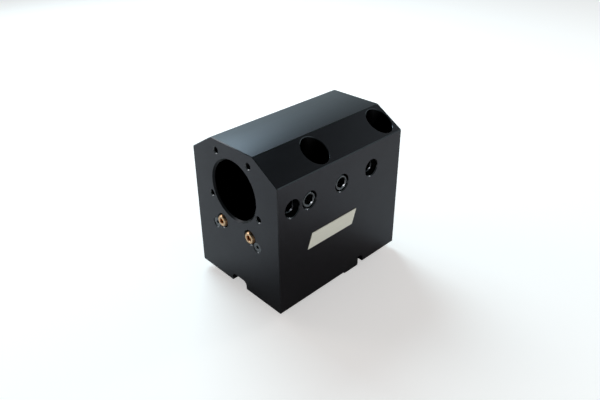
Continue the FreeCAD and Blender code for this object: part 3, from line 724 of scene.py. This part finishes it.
class HOLDER_OT_stage(bpy.types.Operator):
    """Pale floor, soft lamps and the camera"""
    bl_idname = "holder.stage"
    bl_label = "Studio"

    def execute(self, context):
        self.floor(context.scene.holder_studio)
        self.sky(context.scene.holder_studio)
        self.lamps(context.scene.holder_studio)
        self.camera(context.scene.holder_camera)
        context.scene.view_settings.view_transform = "Standard"
        return {"FINISHED"}

    def floor(self, studio):
        size = FLOOR_HALF_SIZE
        low = CAD_BOUNDS[0]
        mesh = bpy.data.meshes.new("floor")
        corners = [(-size, -size, low.z), (size, -size, low.z), (size, size, low.z), (-size, size, low.z)]
        mesh.from_pydata(corners, [], [(0, 1, 2, 3)])
        floor = new_object("floor", mesh)
        material, tree, shader = new_material("pale_floor", {"Base Color": linear(studio.floor_colour),
                                                             "Roughness": 0.9})
        mesh.materials.append(material)
        # The camera sees the floor as paper white, darkened only by the object's shadow. Reflections alone see
        # a long grey patch of painted shade lying from the near corner towards the camera, which darkens the
        # front and the right side at their feet.
        path = add_node(tree, "ShaderNodeLightPath").outputs
        place = add_node(tree, "ShaderNodeTexCoord").outputs["Object"]
        towards_camera = math.radians(CAMERA_SIDE - 90.0)
        on_shade_patch = add_node(tree, "ShaderNodeMapping", {"vector_type": "TEXTURE"},
                           {"Vector": place, "Location": (*SHADE_PATCH_MIDDLE, low.z),
                            "Rotation": (0.0, 0.0, towards_camera), "Scale": (*SHADE_PATCH_REACH, 1.0)})
        away = add_node(tree, "ShaderNodeVectorMath", {"operation": "LENGTH"}, {0: on_shade_patch.outputs["Vector"]})
        clear = add_node(tree, "ShaderNodeMapRange", {"interpolation_type": "SMOOTHSTEP"},
                         {"Value": away.outputs["Value"], "From Min": SHADE_PATCH_FADE[0], "From Max": SHADE_PATCH_FADE[1]})
        shown = add_node(tree, "ShaderNodeMath", {"operation": "MAXIMUM"},
                         {0: path["Is Camera Ray"], 1: clear.outputs["Result"]})
        tone = add_node(tree, "ShaderNodeMix", {"data_type": "RGBA"},
                        {"Factor": shown.outputs["Value"], COLOUR_A: linear(studio.reflected_shade_colour),
                         COLOUR_B: linear(studio.floor_colour)})
        tree.links.new(tone.outputs[COLOUR_RESULT], shader.inputs["Base Color"])
        white = add_node(tree, "ShaderNodeEmission", inputs={"Color": (1, 1, 1, 1), "Strength": PAPER_GLOW})
        both = add_node(tree, "ShaderNodeAddShader",
                        inputs={0: shader.outputs["BSDF"], 1: white.outputs["Emission"]})
        chosen = add_node(tree, "ShaderNodeMixShader",
                          inputs={0: path["Is Camera Ray"], 1: shader.outputs["BSDF"],
                                  2: both.outputs["Shader"]})
        output = next(n for n in tree.nodes if n.type == "OUTPUT_MATERIAL")
        tree.links.new(chosen.outputs["Shader"], output.inputs["Surface"])

    def sky(self, studio):
        """White to the camera. To the object it is a pale backdrop that darkens towards the ceiling and
        towards the dark end of the room, where the camera stands."""
        world = bpy.data.worlds.new("studio")
        bpy.context.scene.world = world
        world.use_nodes = True
        tree = world.node_tree
        tree.nodes.clear()
        direction = add_node(tree, "ShaderNodeTexCoord").outputs["Generated"]
        height = add_node(tree, "ShaderNodeSeparateXYZ", inputs={"Vector": direction}).outputs["Z"]
        start, end = (math.sin(math.radians(angle)) for angle in SKY_FADE_DEGREES)
        fade = add_node(tree, "ShaderNodeMapRange", {"interpolation_type": "SMOOTHSTEP"},
                        {"Value": height, "From Min": start, "From Max": end,
                         "To Min": studio.sky_low, "To Max": studio.sky_high})
        side = math.radians(CAMERA_SIDE)
        facing = add_node(tree, "ShaderNodeVectorMath", {"operation": "DOT_PRODUCT"},
                          {0: direction, 1: (math.sin(side), -math.cos(side), 0.0)})
        dark_end = add_node(tree, "ShaderNodeMapRange", {"interpolation_type": "SMOOTHSTEP"},
                            {"Value": facing.outputs["Value"], "From Min": DARK_END_FADE[0],
                             "From Max": DARK_END_FADE[1], "To Min": 1.0, "To Max": DARK_END_LIGHT})
        fade = add_node(tree, "ShaderNodeMath", {"operation": "MULTIPLY"},
                        {0: fade.outputs["Result"], 1: dark_end.outputs["Result"]})
        path = add_node(tree, "ShaderNodeLightPath").outputs
        seen = add_node(tree, "ShaderNodeMix", {"data_type": "FLOAT"},
                        {"Factor": path["Is Camera Ray"], "A": fade.outputs["Value"], "B": 1.0})
        # Only reflections are tinted, so that the floor stays white.
        tint = add_node(tree, "ShaderNodeMix", {"data_type": "RGBA"},
                        {"Factor": path["Is Glossy Ray"], COLOUR_A: (1.0, 1.0, 1.0, 1.0),
                         COLOUR_B: linear(studio.sky_colour)})
        light = add_node(tree, "ShaderNodeBackground",
                         inputs={"Color": tint.outputs[COLOUR_RESULT], "Strength": seen.outputs["Result"]})
        output = add_node(tree, "ShaderNodeOutputWorld")
        tree.links.new(light.outputs["Background"], output.inputs["Surface"])

    def lamps(self, studio):
        """Disk lamps aimed at the middle: degrees round and up, distance and width in metres, watts."""
        aim = (CAD_BOUNDS[0] + CAD_BOUNDS[1]) / 2
        for name, azimuth, elevation, distance, width, power, colour in (
                ("key_lamp", 255.0, 43.0, 1.2, 0.8, studio.key_power, studio.key_colour),
                ("rear_lamp", 160.0, 24.0, 1.2, 0.22, studio.rear_power, "#FFFFFF"),
                ("near_lamp", 95.0, 7.0, 1.2, 0.35, studio.near_power, "#FFFFFF"),
                ("left_lamp", 301.0, 24.0, 1.2, 0.5, studio.left_power, "#FFFFFF")):
            data = bpy.data.lights.new(name, "AREA")
            data.shape = "DISK"
            data.size = width
            data.energy = power
            data.color = linear(colour)[:3]
            lamp = new_object(name, data)
            back = towards(azimuth, elevation)
            lamp.location = aim + back * distance
            lamp.rotation_euler = (-back).to_track_quat("-Z", "Y").to_euler()

    def camera(self, place):
        back = towards(place.azimuth, place.elevation)
        level = Vector((0, 0, 1)).cross(back).normalized()
        upright = back.cross(level)
        roll = math.radians(place.roll)
        right = math.cos(roll) * level + math.sin(roll) * upright
        up = math.cos(roll) * upright - math.sin(roll) * level
        data = bpy.data.cameras.new("camera")
        data.lens = place.lens
        data.sensor_width = SENSOR_WIDTH_MM
        data.shift_x, data.shift_y = place.shift
        camera = new_object("camera", data)
        turn = Matrix((right, up, back)).transposed().to_4x4()
        eye = Vector(place.target) * MM + back * place.distance * MM
        camera.matrix_world = Matrix.Translation(eye) @ turn
        bpy.context.scene.camera = camera


class HOLDER_PT_panel(bpy.types.Panel):
    """Lists the holder's operators"""
    bl_idname = "HOLDER_PT_panel"
    bl_label = "Boring Bar Holder"
    bl_space_type = "VIEW_3D"
    bl_region_type = "UI"
    bl_category = "Bar Holder"

    def draw(self, context):
        for operator in OPERATORS:
            self.layout.operator(operator.bl_idname)
        for group in ("holder_finish", "holder_threads", "holder_camera", "holder_studio"):
            settings = getattr(context.scene, group)
            column = self.layout.column()
            for name in settings.__annotations__:
                column.prop(settings, name)


SETTINGS = {"holder_finish": FinishSettings, "holder_threads": ThreadSettings,
            "holder_camera": CameraSettings, "holder_studio": StudioSettings}
OPERATORS = (HOLDER_OT_stage, HOLDER_OT_block, HOLDER_OT_clamp_screws, HOLDER_OT_nozzles, HOLDER_OT_keys,
             HOLDER_OT_seals, HOLDER_OT_plate)


def register():
    for name, group in SETTINGS.items():
        bpy.utils.register_class(group)
        setattr(bpy.types.Scene, name, PointerProperty(type=group))
    for operator in OPERATORS:
        bpy.utils.register_class(operator)
    bpy.utils.register_class(HOLDER_PT_panel)


def unregister():
    bpy.utils.unregister_class(HOLDER_PT_panel)
    for operator in reversed(OPERATORS):
        bpy.utils.unregister_class(operator)
    for name, group in SETTINGS.items():
        delattr(bpy.types.Scene, name)
        bpy.utils.unregister_class(group)


def main():
    register()
    bpy.ops.holder.stage()
    bpy.ops.holder.block()
    bpy.ops.holder.clamp_screws()
    bpy.ops.holder.nozzles()
    bpy.ops.holder.keys()
    bpy.ops.holder.seals()
    bpy.ops.holder.plate()


if __name__ == "__main__":
    main()
